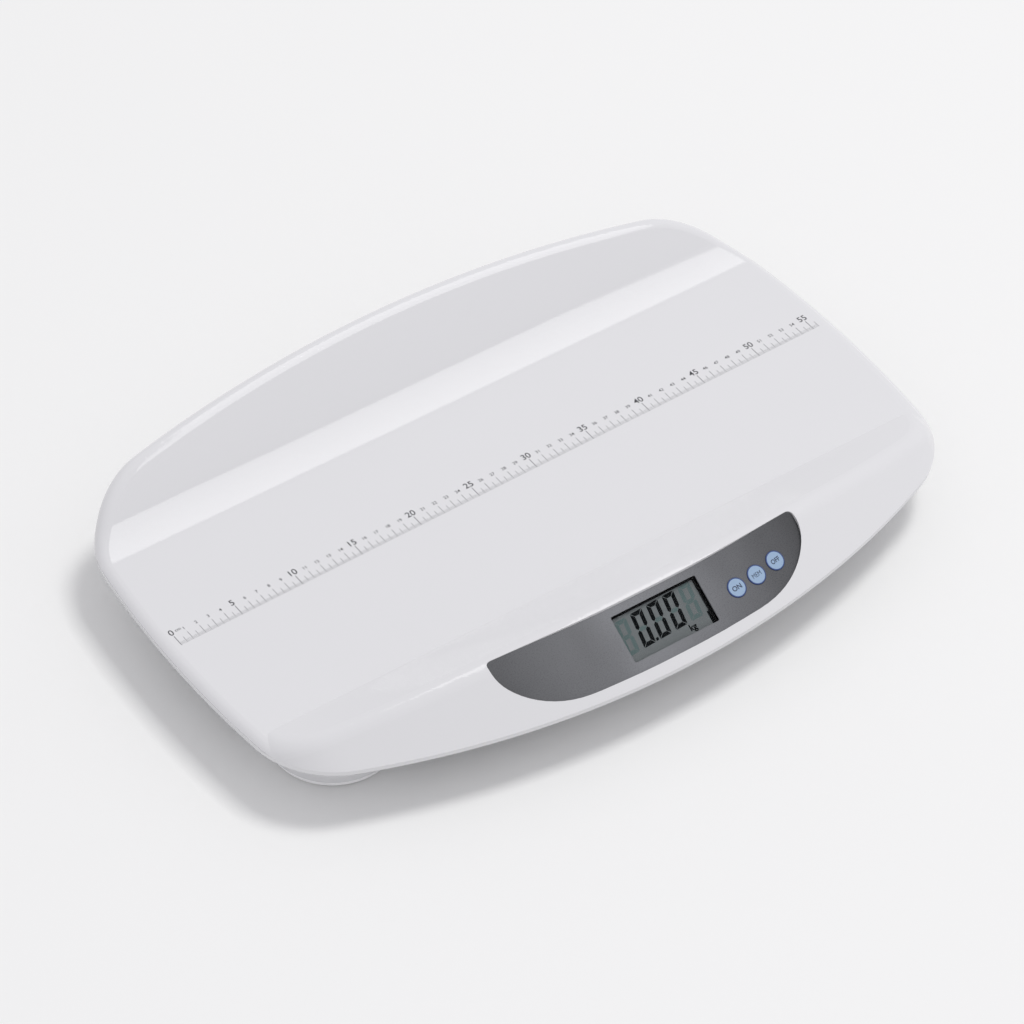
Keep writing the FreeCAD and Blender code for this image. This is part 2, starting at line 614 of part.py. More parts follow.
# ------------------------------------------------------------------
# batteries, contacts, door
# ------------------------------------------------------------------
ZC = Z_BASE + 0.6 + CELL_R + 0.8
cells, springs = [], []
ends = {}
for i in range(4):
    y = BAY_Y - BAY_W / 2 + PITCH * (i + 0.5)
    s = 1 if i % 2 == 0 else -1
    # positive button at the +s end
    x0 = -CELL_L / 2 + s * 2.2
    c = Part.makeCylinder(CELL_R, CELL_L - 1.0, V(x0 if s > 0 else x0 + 1.0, y, ZC), V(1, 0, 0))
    nub = Part.makeCylinder(2.7, 1.0, V(x0 + CELL_L - 1.0 if s > 0 else x0, y, ZC), V(1, 0, 0))
    cells.append(one(c.fuse(nub)))
    xe = x0 + CELL_L if s > 0 else x0
    w = s * BAY_X / 2
    # flat contact plate at the positive end
    a, b = sorted((xe, xe + s * 0.4))
    pz = box(a, b, y - 4.5, y + 4.5, ZC - 5.0, ZC + 5.0)
    a, b = sorted((xe + s * 0.4, w))
    if b - a > 0.05:
        pz = pz.fuse(box(a, b, y - 3.0, y + 3.0, ZC - 3.0, ZC + 3.0))
    ends[(i, s)] = pz
    # spring at the negative end
    xn = x0 if s > 0 else x0 + CELL_L
    wn = -s * BAY_X / 2
    L = abs(wn - xn)
    wire = 0.4
    hx = Part.makeHelix((L - 0.5 - 2 * wire) / 3.0, L - 0.5 - 2 * wire, 3.2)
    hexa = [V(3.2 + wire * math.cos(k * math.pi / 3), 0, wire * math.sin(k * math.pi / 3))
            for k in range(6)]
    prof = Part.makePolygon(hexa + [hexa[0]])
    sp = Part.Wire(hx).makePipeShell([prof], True, True)
    sp.translate(V(0, 0, wire * math.sin(math.pi / 3)))
    if -s > 0:
        sp.Placement = FreeCAD.Placement(V(xn, y, ZC), FreeCAD.Rotation(V(0, 1, 0), 90)).multiply(sp.Placement)
    else:
        sp.Placement = FreeCAD.Placement(V(xn, y, ZC), FreeCAD.Rotation(V(0, 1, 0), -90)).multiply(sp.Placement)
    a, b = sorted((wn, wn + s * 0.4))
    base_pl = box(a, b, y - 4.5, y + 4.5, ZC - 5.0, ZC + 5.0)
    springs.append(sp)
    ends[(i, -s)] = base_pl
keep("batteries", Part.makeCompound(cells))
keep("contact_springs", Part.makeCompound(springs))
Z_TAG = ZB_ROOF + 2.0
tag_a = box(27.3, 27.7, Y_TAG[0] - 1.5, Y_TAG[0] + 1.5, ZC + 4.5, Z_TAG)
tag_b = box(28.6, 29.0, Y_TAG[1] - 1.5, Y_TAG[1] + 1.5, ZC + 4.5, Z_TAG)
groups = [one(ends[(0, 1)].fuse(tag_a)), one(ends[(3, 1)].fuse(tag_b))]
for i, s in ((0, -1), (2, -1), (1, 1)):
    ya = BAY_Y - BAY_W / 2 + PITCH * (i + 0.5)
    a, b = sorted((s * (BAY_X / 2 - 0.4), s * BAY_X / 2))
    strip = box(a, b, ya, ya + PITCH, ZC - 2.5, ZC + 2.5)
    groups.append(one(fuse([ends[(i, s)], ends[(i + 1, s)], strip])))
keep("contact_plates", Part.makeCompound(groups))

door = box(-DX, DX, BAY_Y - BAY_W / 2 - 3.0, BAY_Y + BAY_W / 2 + 3.0, DOOR_Z0, DOOR_Z1)
for i in range(5):
    yy = BAY_Y + 12 + i * 3.2
    door = door.cut(box(-9, 9, yy, yy + 1.2, DOOR_Z0 - 0.1, DOOR_Z0 + 0.7))
keep("battery_door", one(door))

# ------------------------------------------------------------------
# case screws
# ------------------------------------------------------------------
sc = []
for x, y in SCREWS:
    s = cyl(x, y, 22.0, 24.0, 2.9)
    s = s.fuse(cyl(x, y, 24.0, Z_BOSS + 10.0, 1.2))
    s = s.cut(box(x - 1.9, x + 1.9, y - 0.4, y + 0.4, 21.9, 23.0))
    s = s.cut(box(x - 0.4, x + 0.4, y - 1.9, y + 1.9, 21.9, 23.0))
    sc.append(one(s))
keep("case_screws", Part.makeCompound(sc))

# ------------------------------------------------------------------
# cables
# ------------------------------------------------------------------
ZW = 22.2


def plug_pt(k, d=0.0):
    x, v = PLUG[k]
    return loc(x, v, D_BOT + 5.0 + d)


def cable(k, start, mids):
    e0 = plug_pt(k)
    e1 = plug_pt(k, 7.0)
    return pipe([start] + mids + [e1, e0], 3.0, 1.1)


cab = []
for k in ("fl", "fr"):
    x, y = PODS[k]
    s = 1 if x > 0 else -1
    st = V(x, y + 5.0, CELL_Z + 3.0)
    e1 = plug_pt(k, 7.0)
    cab.append(cable(k, st, [V(x, y + 5.0, ZW + 3), V(e1.x, y + 5.0, ZW + 3), V(e1.x, e1.y + 6.0, ZW + 3)]))
keep("cables_front", Part.makeCompound(cab))
cab = []
for k in ("rl", "rr"):
    x, y = PODS[k]
    st = V(x, y + 5.0, CELL_Z + 3.0)
    e1 = plug_pt(k, 7.0)
    cab.append(cable(k, st, [V(x, y + 5.0, ZW + 3), V(x * 0.42, y + 5.0, ZW + 3),
                             V(x * 0.42, -48.0, ZW + 3), V(e1.x, -48.0, ZW + 3), V(e1.x, e1.y + 6.0, ZW + 3)]))
keep("cables_rear", Part.makeCompound(cab))
leads = []
for xs, xl, y in ((27.7, 36.0, Y_TAG[0]), (29.0, 39.0, Y_TAG[1])):
    z = Z_TAG - 0.9
    e0, e1 = loc(xl, 4.0, D_BOT + 5.0), loc(xl, 4.0, D_BOT + 12.0)
    leads.append(pipe([V(xs, y, z), V(xl, y, z), V(xl, -138.0, z), e1, e0], 2.0, 0.7))
keep("battery_leads", Part.makeCompound(leads))

# ------------------------------------------------------------------
for name, shape in NODES.items():
    shape.exportStep("parts/%s.step" % name)
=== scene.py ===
import bpy
import bmesh
import json
import math
from mathutils import Vector, Matrix


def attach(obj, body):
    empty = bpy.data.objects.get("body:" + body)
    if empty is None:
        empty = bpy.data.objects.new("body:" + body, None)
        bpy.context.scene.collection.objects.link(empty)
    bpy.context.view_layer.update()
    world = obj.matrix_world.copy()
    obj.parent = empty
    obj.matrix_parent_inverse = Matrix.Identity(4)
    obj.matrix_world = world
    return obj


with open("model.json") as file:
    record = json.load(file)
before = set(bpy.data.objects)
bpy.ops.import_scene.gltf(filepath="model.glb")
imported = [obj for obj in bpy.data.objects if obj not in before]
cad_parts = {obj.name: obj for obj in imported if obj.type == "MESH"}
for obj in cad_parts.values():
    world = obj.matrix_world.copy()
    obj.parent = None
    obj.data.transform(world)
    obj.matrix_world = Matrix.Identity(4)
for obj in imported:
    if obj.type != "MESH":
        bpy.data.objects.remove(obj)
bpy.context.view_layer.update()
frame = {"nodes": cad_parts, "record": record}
MM = 0.001
nodes = frame["nodes"]

# ------------------------------------------------------------------
# dimensions shared with the CAD, millimetres
# ------------------------------------------------------------------
Z_TOP = 48.0
Y_AXIS = -192.0 + 637.0
PANEL = math.radians(32.0)
APEX = 45.4 + (Y_AXIS + 188.7) * math.tan(PANEL)
LCD_Y = -162.5
LCD_X = 1.5
DV = 0.943             # v of the segments is measured from a middle this much lower
O0 = Vector((0, LCD_Y, APEX - (Y_AXIS - LCD_Y) * math.tan(PANEL)))
N0 = Vector((0, -math.sin(PANEL), math.cos(PANEL)))
E0 = Vector((0, math.cos(PANEL), math.sin(PANEL)))
BTN_X = (61.1, 79.7, 98.3)
BTN_Y = (-165.2, -163.6, -161.0)


def loc(x, v, d):
    return O0 + Vector((x, 0, 0)) + E0 * v - N0 * d


def face_depth(x, v, off=0.0):
    """depth of the fanned panel surface below its middle plane"""
    lo, hi = -6.0, 14.0
    for _ in range(60):
        d = (lo + hi) / 2
        p = loc(x, v, d)
        z = APEX + off / math.cos(PANEL) - math.hypot(p.x, p.y - Y_AXIS) * math.tan(PANEL)
        if p.z > z:
            lo = d
        else:
            hi = d
    return (lo + hi) / 2


# ------------------------------------------------------------------
# material helpers
# ------------------------------------------------------------------
class Tree:
    def __init__(self, name):
        self.mat = bpy.data.materials.new(name)
        self.mat.use_nodes = True
        self.t = self.mat.node_tree
        self.b = self.t.nodes["Principled BSDF"]
        self.out = self.t.nodes["Material Output"]
        self.co = self.t.nodes.new("ShaderNodeTexCoord").outputs["Object"]

    def node(self, kind, **kw):
        n = self.t.nodes.new(kind)
        for k, v in kw.items():
            setattr(n, k, v)
        return n

    def link(self, a, b):
        self.t.links.new(a, b)

    def set(self, sock, val):
        if hasattr(val, "is_linked") or isinstance(val, bpy.types.NodeSocket):
            self.link(val, sock)
        else:
            sock.default_value = val

    def math(self, op, a, b=None, c=None, clamp=False):
        n = self.node("ShaderNodeMath", operation=op, use_clamp=clamp)
        self.set(n.inputs[0], a)
        if b is not None:
            self.set(n.inputs[1], b)
        if c is not None:
            self.set(n.inputs[2], c)
        return n.outputs[0]

    def dot(self, vec, const):
        n = self.node("ShaderNodeVectorMath", operation="DOT_PRODUCT")
        self.link(vec, n.inputs[0])
        n.inputs[1].default_value = const
        return n.outputs["Value"]

    def sub(self, vec, const):
        n = self.node("ShaderNodeVectorMath", operation="SUBTRACT")
        self.link(vec, n.inputs[0])
        n.inputs[1].default_value = const
        return n.outputs[0]

    def length(self, vec):
        n = self.node("ShaderNodeVectorMath", operation="LENGTH")
        self.link(vec, n.inputs[0])
        return n.outputs["Value"]

    def noise(self, scale, detail=2.0, rough=0.5, stretch=None):
        vec = self.co
        if stretch:
            m = self.node("ShaderNodeMapping")
            self.link(vec, m.inputs["Vector"])
            m.inputs["Scale"].default_value = stretch
            vec = m.outputs[0]
        n = self.node("ShaderNodeTexNoise")
        self.link(vec, n.inputs["Vector"])
        n.inputs["Scale"].default_value = scale
        n.inputs["Detail"].default_value = detail
        n.inputs["Roughness"].default_value = rough
        return n.outputs["Fac"]

    def remap(self, val, a, b, c, d, smooth=False):
        n = self.node("ShaderNodeMapRange")
        if smooth:
            n.interpolation_type = "SMOOTHSTEP"
        self.link(val, n.inputs["Value"])
        for i, v in zip((1, 2, 3, 4), (a, b, c, d)):
            n.inputs[i].default_value = v
        return n.outputs["Result"]

    def mix(self, fac, c1, c2):
        n = self.node("ShaderNodeMix", data_type="RGBA")
        self.set(n.inputs["Factor"], fac)
        for s, c in ((n.inputs[6], c1), (n.inputs[7], c2)):
            if isinstance(c, (tuple, list)):
                s.default_value = (*c[:3], 1.0)
            else:
                self.link(c, s)
        return n.outputs[2]

    def bump(self, height, strength, dist):
        n = self.node("ShaderNodeBump")
        n.inputs["Strength"].default_value = strength
        n.inputs["Distance"].default_value = dist
        self.link(height, n.inputs["Height"])
        self.link(n.outputs[0], self.b.inputs["Normal"])


def plastic(name, col, rough, var=0.03, grain=900.0, strength=0.06, ior=1.5, rvar=0.05):
    """moulded plastic: faint tone drift, fine texture in the surface"""
    m = Tree(name)
    n1 = m.noise(9.0, 3.0)
    lo = tuple(c * (1 - var) for c in col)
    hi = tuple(min(1.0, c * (1 + var)) for c in col)
    m.link(m.mix(n1, lo, hi), m.b.inputs["Base Color"])
    n2 = m.noise(grain, 3.0, 0.6)
    m.link(m.remap(n2, 0.3, 0.7, max(rough - rvar, 0.02), rough + rvar), m.b.inputs["Roughness"])
    m.b.inputs["IOR"].default_value = ior
    m.bump(n2, strength, 0.0001)
    return m


def metal(name, col, rough, stretch=(1, 40, 40), scale=60.0):
    m = Tree(name)
    n1 = m.noise(scale, 3.0, 0.6, stretch)
    lo = tuple(c * 0.82 for c in col)
    m.link(m.mix(n1, lo, col), m.b.inputs["Base Color"])
    m.b.inputs["Metallic"].default_value = 1.0
    m.link(m.remap(n1, 0.3, 0.7, rough * 0.75, rough * 1.3), m.b.inputs["Roughness"])
    m.bump(n1, 0.15, 0.0001)
    return m


def rubber(name, col, rough=0.75):
    m = plastic(name, col, rough, 0.08, 500.0, 0.35, 1.45, 0.08)
    return m


M = {}
WHITE = (0.726, 0.725, 0.737)
WHITE_LOW = (0.73, 0.73, 0.742)

# tray shell, with painted shade: near-black on the walls within the display window, where the recess lies in shadow
m = plastic("tray_gloss", WHITE, 0.07, 0.008, 700.0, 0.012, 1.5, 0.012)
base = m.b.inputs["Base Color"].links[0].from_socket
q = m.sub(m.co, tuple((O0 + Vector((LCD_X, 0, 0))) * MM))
dd = m.math("MULTIPLY", m.dot(q, tuple(N0)), -1.0)
vv = m.math("ABSOLUTE", m.dot(q, tuple(E0)))
xx = m.math("ABSOLUTE", m.dot(q, (1, 0, 0)))
# painted shade: near-black base colour on the tray walls deeper than 1.05 mm within the display window
window_recess_shade = m.math("MULTIPLY", m.math("LESS_THAN", xx, 0.0386),
                m.math("MULTIPLY", m.math("LESS_THAN", vv, 0.0207),
                       m.math("GREATER_THAN", dd, 0.00105)))
m.link(m.mix(window_recess_shade, base, (0.012, 0.012, 0.013)), m.b.inputs["Base Color"])
M["tray_plastic"] = m.mat
M["base_plastic"] = plastic("base_gloss", WHITE_LOW, 0.1, 0.012, 700.0, 0.02, 1.5, 0.02).mat
M["door_plastic"] = plastic("door_gloss", WHITE_LOW, 0.2, 0.015, 700.0, 0.05, 1.5, 0.04).mat
# painted light: the feet are the shell's white plastic, given a much brighter base colour to stand in for floor bounce
# light
M["foot_plastic"] = plastic("foot_satin_brightened", (0.96, 0.96, 0.965), 0.3, 0.015, 700.0, 0.08).mat

# display panel: smoked dark film, with a painted sheen: its base colour is lightest near the middle of its length and
# darker toward both ends
m = Tree("panel_film")
sx = m.node("ShaderNodeSeparateXYZ")
m.link(m.co, sx.inputs[0])
ramp = m.node("ShaderNodeValToRGB")
ramp.color_ramp.interpolation = "EASE"
els = ramp.color_ramp.elements
panel_sheen_stops = [(0.0, 0.080), (0.25, 0.117), (0.42, 0.180), (0.58, 0.154), (0.74, 0.117), (0.88, 0.082), (1.0, 0.051)]
while len(els) < len(panel_sheen_stops):
    els.new(0.5)
for e, (p, v) in zip(els, panel_sheen_stops):
    e.position = p
    e.color = (v * 0.975, v, v * 1.07, 1)
m.link(m.remap(sx.outputs["X"], -0.130, 0.130, 0.0, 1.0), ramp.inputs["Fac"])
fleck = m.noise(1500.0, 2.0, 0.7)
cloud = m.noise(34.0, 2.0, 0.5)
tone = m.math("ADD", m.remap(fleck, 0.3, 0.7, 0.95, 1.05), m.remap(cloud, 0.3, 0.7, -0.06, 0.06))
vm = m.node("ShaderNodeVectorMath", operation="SCALE")
m.link(ramp.outputs["Color"], vm.inputs[0])
m.link(tone, vm.inputs["Scale"])
m.link(vm.outputs[0], m.b.inputs["Base Color"])
m.link(m.remap(fleck, 0.3, 0.7, 0.24, 0.34), m.b.inputs["Roughness"])
m.b.inputs["IOR"].default_value = 1.46
m.bump(fleck, 0.05, 0.0001)
M["panel_face"] = m.mat


def clear(name, tint, rough, gloss_ior=1.45, body=0.0, body_col=(0.5, 0.55, 0.52)):
    """thin clear sheet: sees straight through, with a gloss on top"""
    m = Tree(name)
    tr = m.node("ShaderNodeBsdfTransparent")
    tr.inputs["Color"].default_value = (*tint, 1)
    gl = m.node("ShaderNodeBsdfGlossy")
    n = m.noise(260.0, 2.0)
    m.link(m.remap(n, 0.3, 0.7, rough * 0.7, rough * 1.3), gl.inputs["Roughness"])
    fr = m.node("ShaderNodeFresnel")
    fr.inputs["IOR"].default_value = gloss_ior
    mx = m.node("ShaderNodeMixShader")
    m.link(fr.outputs[0], mx.inputs[0])
    m.link(tr.outputs[0], mx.inputs[1])
    m.link(gl.outputs[0], mx.inputs[2])
    m.link(mx.outputs[0], m.out.inputs["Surface"])
    m.t.nodes.remove(m.b)
    return m.mat


M["window_clear"] = clear("window_sheet", (0.97, 0.98, 0.975), 0.04, 1.12)
m = plastic("lcd_face", (0.170, 0.180, 0.188), 0.25, 0.04, 1200.0, 0.02, 1.5, 0.03)
m.b.inputs["Specular IOR Level"].default_value = 0.2
M["lcd_glass"] = m.mat
M["lcd_back"] = plastic("lcd_back_film", (0.42, 0.46, 0.44), 0.4).mat
M["frame_plastic"] = plastic("frame_moulding", (0.78, 0.78, 0.76), 0.45).mat
M["zebra_rubber"] = rubber("zebra_silicone", (0.12, 0.12, 0.13), 0.6).mat
M["chip_black"] = plastic("chip_resin", (0.02, 0.02, 0.021), 0.45).mat
M["smd_parts"] = plastic("small_parts", (0.26, 0.2, 0.14), 0.4).mat
M["plug_plastic"] = plastic("plug_moulding", (0.82, 0.8, 0.74), 0.4).mat
M["gauge_film"] = plastic("gauge_sealant", (0.55, 0.3, 0.08), 0.35, 0.1).mat
M["switch_metal"] = metal("switch_cover", (0.66, 0.66, 0.65), 0.35).mat
M["screw_steel"] = metal("screw_zinc", (0.6, 0.6, 0.6), 0.3, (1, 1, 1), 300.0).mat
M["cell_metal"] = metal("cell_plate", (0.6, 0.61, 0.62), 0.32).mat
M["contact_nickel"] = metal("contact_nickel_plate", (0.72, 0.7, 0.66), 0.2, (1, 1, 1), 200.0).mat
M["cable_grey"] = rubber("cable_sheath", (0.2, 0.2, 0.21), 0.5).mat
M["lead_sleeve"] = rubber("lead_sheath", (0.42, 0.03, 0.03), 0.45).mat
M["pad_rubber"] = rubber("foot_rubber", (0.10, 0.10, 0.105), 0.8).mat

# board: solder mask with faint copper runs under it
m = Tree("board_mask")
w = m.node("ShaderNodeTexBrick")
m.link(m.co, w.inputs["Vector"])
w.inputs["Scale"].default_value = 160.0
w.inputs["Color1"].default_value = (0.015, 0.13, 0.05, 1)
w.inputs["Color2"].default_value = (0.02, 0.16, 0.065, 1)
w.inputs["Mortar"].default_value = (0.012, 0.09, 0.035, 1)
m.link(w.outputs["Color"], m.b.inputs["Base Color"])
m.link(m.remap(m.noise(300.0), 0.3, 0.7, 0.25, 0.4), m.b.inputs["Roughness"])
m.bump(w.outputs["Fac"], 0.1, 0.0001)
M["board_laminate"] = m.mat

# battery sleeve: dark body, bright band at the positive end
m = Tree("battery_sleeve_print")
s2 = m.node("ShaderNodeSeparateXYZ")
m.link(m.co, s2.inputs[0])
band = m.math("GREATER_THAN", m.math("ABSOLUTE", s2.outputs["X"]), 0.0268)
n = m.noise(120.0, 2.0, 0.5, (1, 8, 8))
skin = m.mix(n, (0.045, 0.05, 0.06), (0.06, 0.066, 0.08))
m.link(m.mix(band, skin, (0.6, 0.59, 0.56)), m.b.inputs["Base Color"])
m.link(m.remap(n, 0.3, 0.7, 0.18, 0.3), m.b.inputs["Roughness"])
m.b.inputs["Metallic"].default_value = 0.6
m.bump(n, 0.05, 0.0001)
M["battery_sleeve"] = m.mat


def button_mat(i):
    """blue cap with a dark ring round its rim"""
    m = Tree("button_cap_%d" % i)
    x, y = BTN_X[i], BTN_Y[i]
    v = (y - LCD_Y) / math.cos(PANEL)
    c = loc(x, v, face_depth(x, v, 0.6)) * MM
    ph = math.asin(x / math.hypot(x, y - Y_AXIS))
    nn = Vector((math.sin(PANEL) * math.sin(ph), -math.sin(PANEL) * math.cos(ph), math.cos(PANEL)))
    qq = m.sub(m.co, tuple(c))
    h = m.dot(qq, tuple(nn))
    ln = m.length(qq)
    r = m.math("SQRT", m.math("SUBTRACT", m.math("MULTIPLY", ln, ln), m.math("MULTIPLY", h, h)))
    ring = m.remap(r, 0.00628, 0.00642, 0.0, 1.0)
    n1 = m.noise(400.0, 2.0)
    disc = m.mix(n1, (0.275, 0.394, 0.555), (0.300, 0.418, 0.580))
    m.link(m.mix(ring, disc, (0.030, 0.062, 0.20)), m.b.inputs["Base Color"])
    n2 = m.noise(900.0, 3.0)
    m.link(m.remap(n2, 0.3, 0.7, 0.26, 0.36), m.b.inputs["Roughness"])
    m.bump(n2, 0.06, 0.0001)
    return m.mat


for sub in frame["record"]["subparts"]:
    n, s = sub["node"], sub["material_slot"]
    if n not in nodes:
        continue
    mt = M.get(s)
    if n == "button_on":
        mt = button_mat(0)
    elif n == "button_memory":
        mt = button_mat(1)
    elif n == "button_off":
        mt = button_mat(2)
    o = nodes[n]
    for i in range(len(o.material_slots)):
        o.material_slots[i].material = mt


# ------------------------------------------------------------------
# printed and drawn pieces
# ------------------------------------------------------------------
def ink(name, col, rough=0.45, spec=0.5):
    m = Tree(name)
    m.b.inputs["Specular IOR Level"].default_value = spec
    n = m.noise(2500.0, 2.0)
    m.link(m.mix(n, tuple(c * 0.9 for c in col), tuple(min(1, c * 1.1) for c in col)),
           m.b.inputs["Base Color"])
    m.link(m.remap(n, 0.3, 0.7, rough - 0.06, rough + 0.06), m.b.inputs["Roughness"])
    m.bump(n, 0.04, 0.00005)
    return m.mat


INK = ink("ruler_ink", (0.035, 0.035, 0.042))
INK_BTN = ink("button_ink", (0.02, 0.035, 0.075))
INK_LCD = ink("lcd_segment", (0.004, 0.005, 0.006), 0.4, 0.02)
GHOST = ink("lcd_idle_segment", (0.100, 0.142, 0.144), 0.4, 0.2)
# near-black ring material: painted shade for the window recess
WINDOW_SHADE_INK = ink("window_painted_shade_ring", (0.010, 0.010, 0.011), 0.8, 0.1)


def new_obj(name, bm, mat, body):
    me = bpy.data.meshes.new(name)
    bm.to_mesh(me)
    bm.free()
    me.materials.append(mat)
    o = bpy.data.objects.new(name, me)
    bpy.context.scene.collection.objects.link(o)
    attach(o, body)
    return o


def prism(bm, pts, up):
    """closed thin prism on a polygon of 3-D points, up = thickness vector"""
    lo = [bm.verts.new(p) for p in pts]
    hi = [bm.verts.new(p + up) for p in pts]
    n = len(pts)
    bm.faces.new(lo[::-1])
    bm.faces.new(hi)
    for i in range(n):
        j = (i + 1) % n
        bm.faces.new((lo[i], lo[j], hi[j], hi[i]))


def lettering(bm, text, size, origin, ex, ey, up, align="CENTER", squeeze=1.0, weight=0.0, shear=0.0):
    """adds solid letters of cap height size (mm) centred on origin (mm)"""
    cu = bpy.data.curves.new("tmp_text", "FONT")
    cu.body = text
    cu.align_x = align
    cu.align_y = "CENTER"
    cu.size = 1.0
    cu.offset = weight
    cu.shear = shear
    ob = bpy.data.objects.new("tmp_text", cu)
    bpy.context.scene.collection.objects.link(ob)
    dg = bpy.context.evaluated_depsgraph_get()
    dg.update()
    me = bpy.data.meshes.new_from_object(ob.evaluated_get(dg))
    tb = bmesh.new()
    tb.from_mesh(me)
    bmesh.ops.remove_doubles(tb, verts=tb.verts, dist=1e-5)
    bmesh.ops.dissolve_limit(tb, angle_limit=0.001, verts=tb.verts, edges=tb.edges)
    cap = 0.69
    ys = [v.co.y for v in tb.verts]
    cy = (max(ys) + min(ys)) / 2 if ys else 0.0
    k = size / cap
    lower = {}
    upper = {}
    for v in tb.verts:
        p = origin + ex * (v.co.x * k * squeeze) + ey * ((v.co.y - cy) * k)
        lower[v] = bm.verts.new(p * MM)
        upper[v] = bm.verts.new((p + up) * MM)
    for f in tb.faces:
        vs = list(f.verts)
        if f.normal.z < 0:
            vs = vs[::-1]
        bm.faces.new([upper[v] for v in vs])
        bm.faces.new([lower[v] for v in vs[::-1]])
    for e in tb.edges:
        if len(e.link_faces) == 1:
            f = e.link_faces[0]
            a, b = e.verts
            vs = list(f.verts)
            if f.normal.z < 0:
                vs = vs[::-1]
            i = vs.index(a)
            if vs[(i + 1) % len(vs)] != b:
                a, b = b, a
            bm.faces.new((lower[a], lower[b], upper[b], upper[a]))
    tb.free()
    bpy.data.meshes.remove(me)
    bpy.data.objects.remove(ob)
    bpy.data.curves.remove(cu)


UP = Vector((0, 0, 1))
YAW = math.radians(0.7)
RX = Vector((math.cos(YAW), math.sin(YAW), 0))
RY = Vector((-math.sin(YAW), math.cos(YAW), 0))


def rpt(t, u, z=Z_TOP - 0.02):
    """ruler point: t along the scale from zero, u above the base line"""
    return Vector((0, 20.3, z)) + RX * (t - 277.46) + RY * u


bm = bmesh.new()
for i in range(0, 556):
    if i % 50 == 0:
        h, w = 10.0, 0.42
    elif i % 10 == 0:
        h, w = 8.5, 0.30
    elif i % 5 == 0:
        h, w = 6.0, 0.26
    else:
        h, w = 3.0, 0.15
    pts = [rpt(i - w / 2, 0), rpt(i + w / 2, 0), rpt(i + w / 2, h), rpt(i - w / 2, h)]
    prism(bm, [p * MM for p in pts], Vector((0, 0, 0.05 * MM)))
new_obj("ruler_marks", bm, INK, "body")

bm = bmesh.new()
for i in range(0, 56):
    big = i % 5 == 0
    size = 5.2 if big else 2.7
    u = 13.8 if big else 12.8
    lettering(bm, str(i), size, rpt(i * 10.0 - (0.3 if i else 0.0), u), RX, RY, UP * 0.05,
              weight=0.008 if big else 0.004)
lettering(bm, "cm", 2.7, rpt(5.6, 13.6), RX, RY, UP * 0.05)
new_obj("ruler_numbers", bm, INK, "body")

# LCD segments, on the cell glass behind the window
D_SEG = 4.84
SEG_UP = N0 * 0.06


def seg_digit(bm, tl, tr, bl, br, on, w=3.05, gap=0.36):
    """seven segments in the slanted box given by its four corners (x, v)"""
    tl, tr, bl, br = (Vector((p[0], p[1] + TILT * (p[0] + 4.0))) for p in (tl, tr, bl, br))

    def at(a, b):
        top = tl.lerp(tr, a)
        bot = bl.lerp(br, a)
        return top.lerp(bot, b)
    wd = (tr - tl).length
    ht = (tl - bl).length
    wx, wy = w / wd, w / ht
    gx, gy = gap / wd / 2, gap / ht / 2
    S = {
        "a": [(gx * 2, 0), (1 - gx * 2, 0), (1 - wx - gx, wy), (wx + gx, wy)],
        "d": [(wx + gx, 1 - wy), (1 - wx - gx, 1 - wy), (1 - gx * 2, 1), (gx * 2, 1)],
        "f": [(0, gy * 2), (wx, wy + gy), (wx, 0.5 - wy / 2 - gy), (wx / 2, 0.5 - gy), (0, 0.5 - wy / 2 - gy)],
        "b": [(1, gy * 2), (1, 0.5 - wy / 2 - gy), (1 - wx / 2, 0.5 - gy), (1 - wx, 0.5 - wy / 2 - gy), (1 - wx, wy + gy)],
        "e": [(0, 1 - gy * 2), (0, 0.5 + wy / 2 + gy), (wx / 2, 0.5 + gy), (wx, 0.5 + wy / 2 + gy), (wx, 1 - wy - gy)],
        "c": [(1, 1 - gy * 2), (1 - wx, 1 - wy - gy), (1 - wx, 0.5 + wy / 2 + gy), (1 - wx / 2, 0.5 + gy), (1, 0.5 + wy / 2 + gy)],
        "g": [(wx / 2 + gx, 0.5), (wx + gx / 2, 0.5 - wy / 2), (1 - wx - gx / 2, 0.5 - wy / 2), (1 - wx / 2 - gx, 0.5),
              (1 - wx - gx / 2, 0.5 + wy / 2), (wx + gx / 2, 0.5 + wy / 2)],
    }
    for k in on:
        pts = [at(a, b) for a, b in S[k]]
        ps = [loc(p.x, p.y, D_SEG) for p in pts]
        nrm = (ps[1] - ps[0]).cross(ps[2] - ps[1])
        if nrm.dot(N0) < 0:
            ps = ps[::-1]
        prism(bm, [p * MM for p in ps], SEG_UP * MM)


V_TOP, V_BOT = 15.7 - DV, -9.6 - DV
TILT = 0.042                        # the row of digits sits a little askew in the window
LEAN = 2.5
DIG = [(-18.4, 9.9), (-4.6, 9.9), (9.2, 9.9)]
bm = bmesh.new()
for x, w in DIG:
    seg_digit(bm, (x, V_TOP), (x + w, V_TOP), (x - LEAN, V_BOT), (x + w - LEAN, V_BOT), "abcdef")
pt = [(a, b - DV + TILT * (a + 4.0)) for a, b in ((-9.9, -7.2), (-7.8, -7.2), (-8.1, -9.4), (-10.2, -9.4))]
prism(bm, [loc(a, b, D_SEG) * MM for a, b in pt[::-1]], SEG_UP * MM)
lettering(bm, "kg", 4.6, loc(18.9, -13.0 - DV, D_SEG), Vector((1, 0, 0)), E0, SEG_UP, weight=0.035, squeeze=0.95)
blk = [(33.6, -8.0), (38.6, -8.0), (38.6, -18.6), (33.6, -18.6)]
prism(bm, [loc(a, b, D_SEG) * MM for a, b in blk[::-1]], SEG_UP * MM)
new_obj("lcd_digits", bm, INK_LCD, "body")

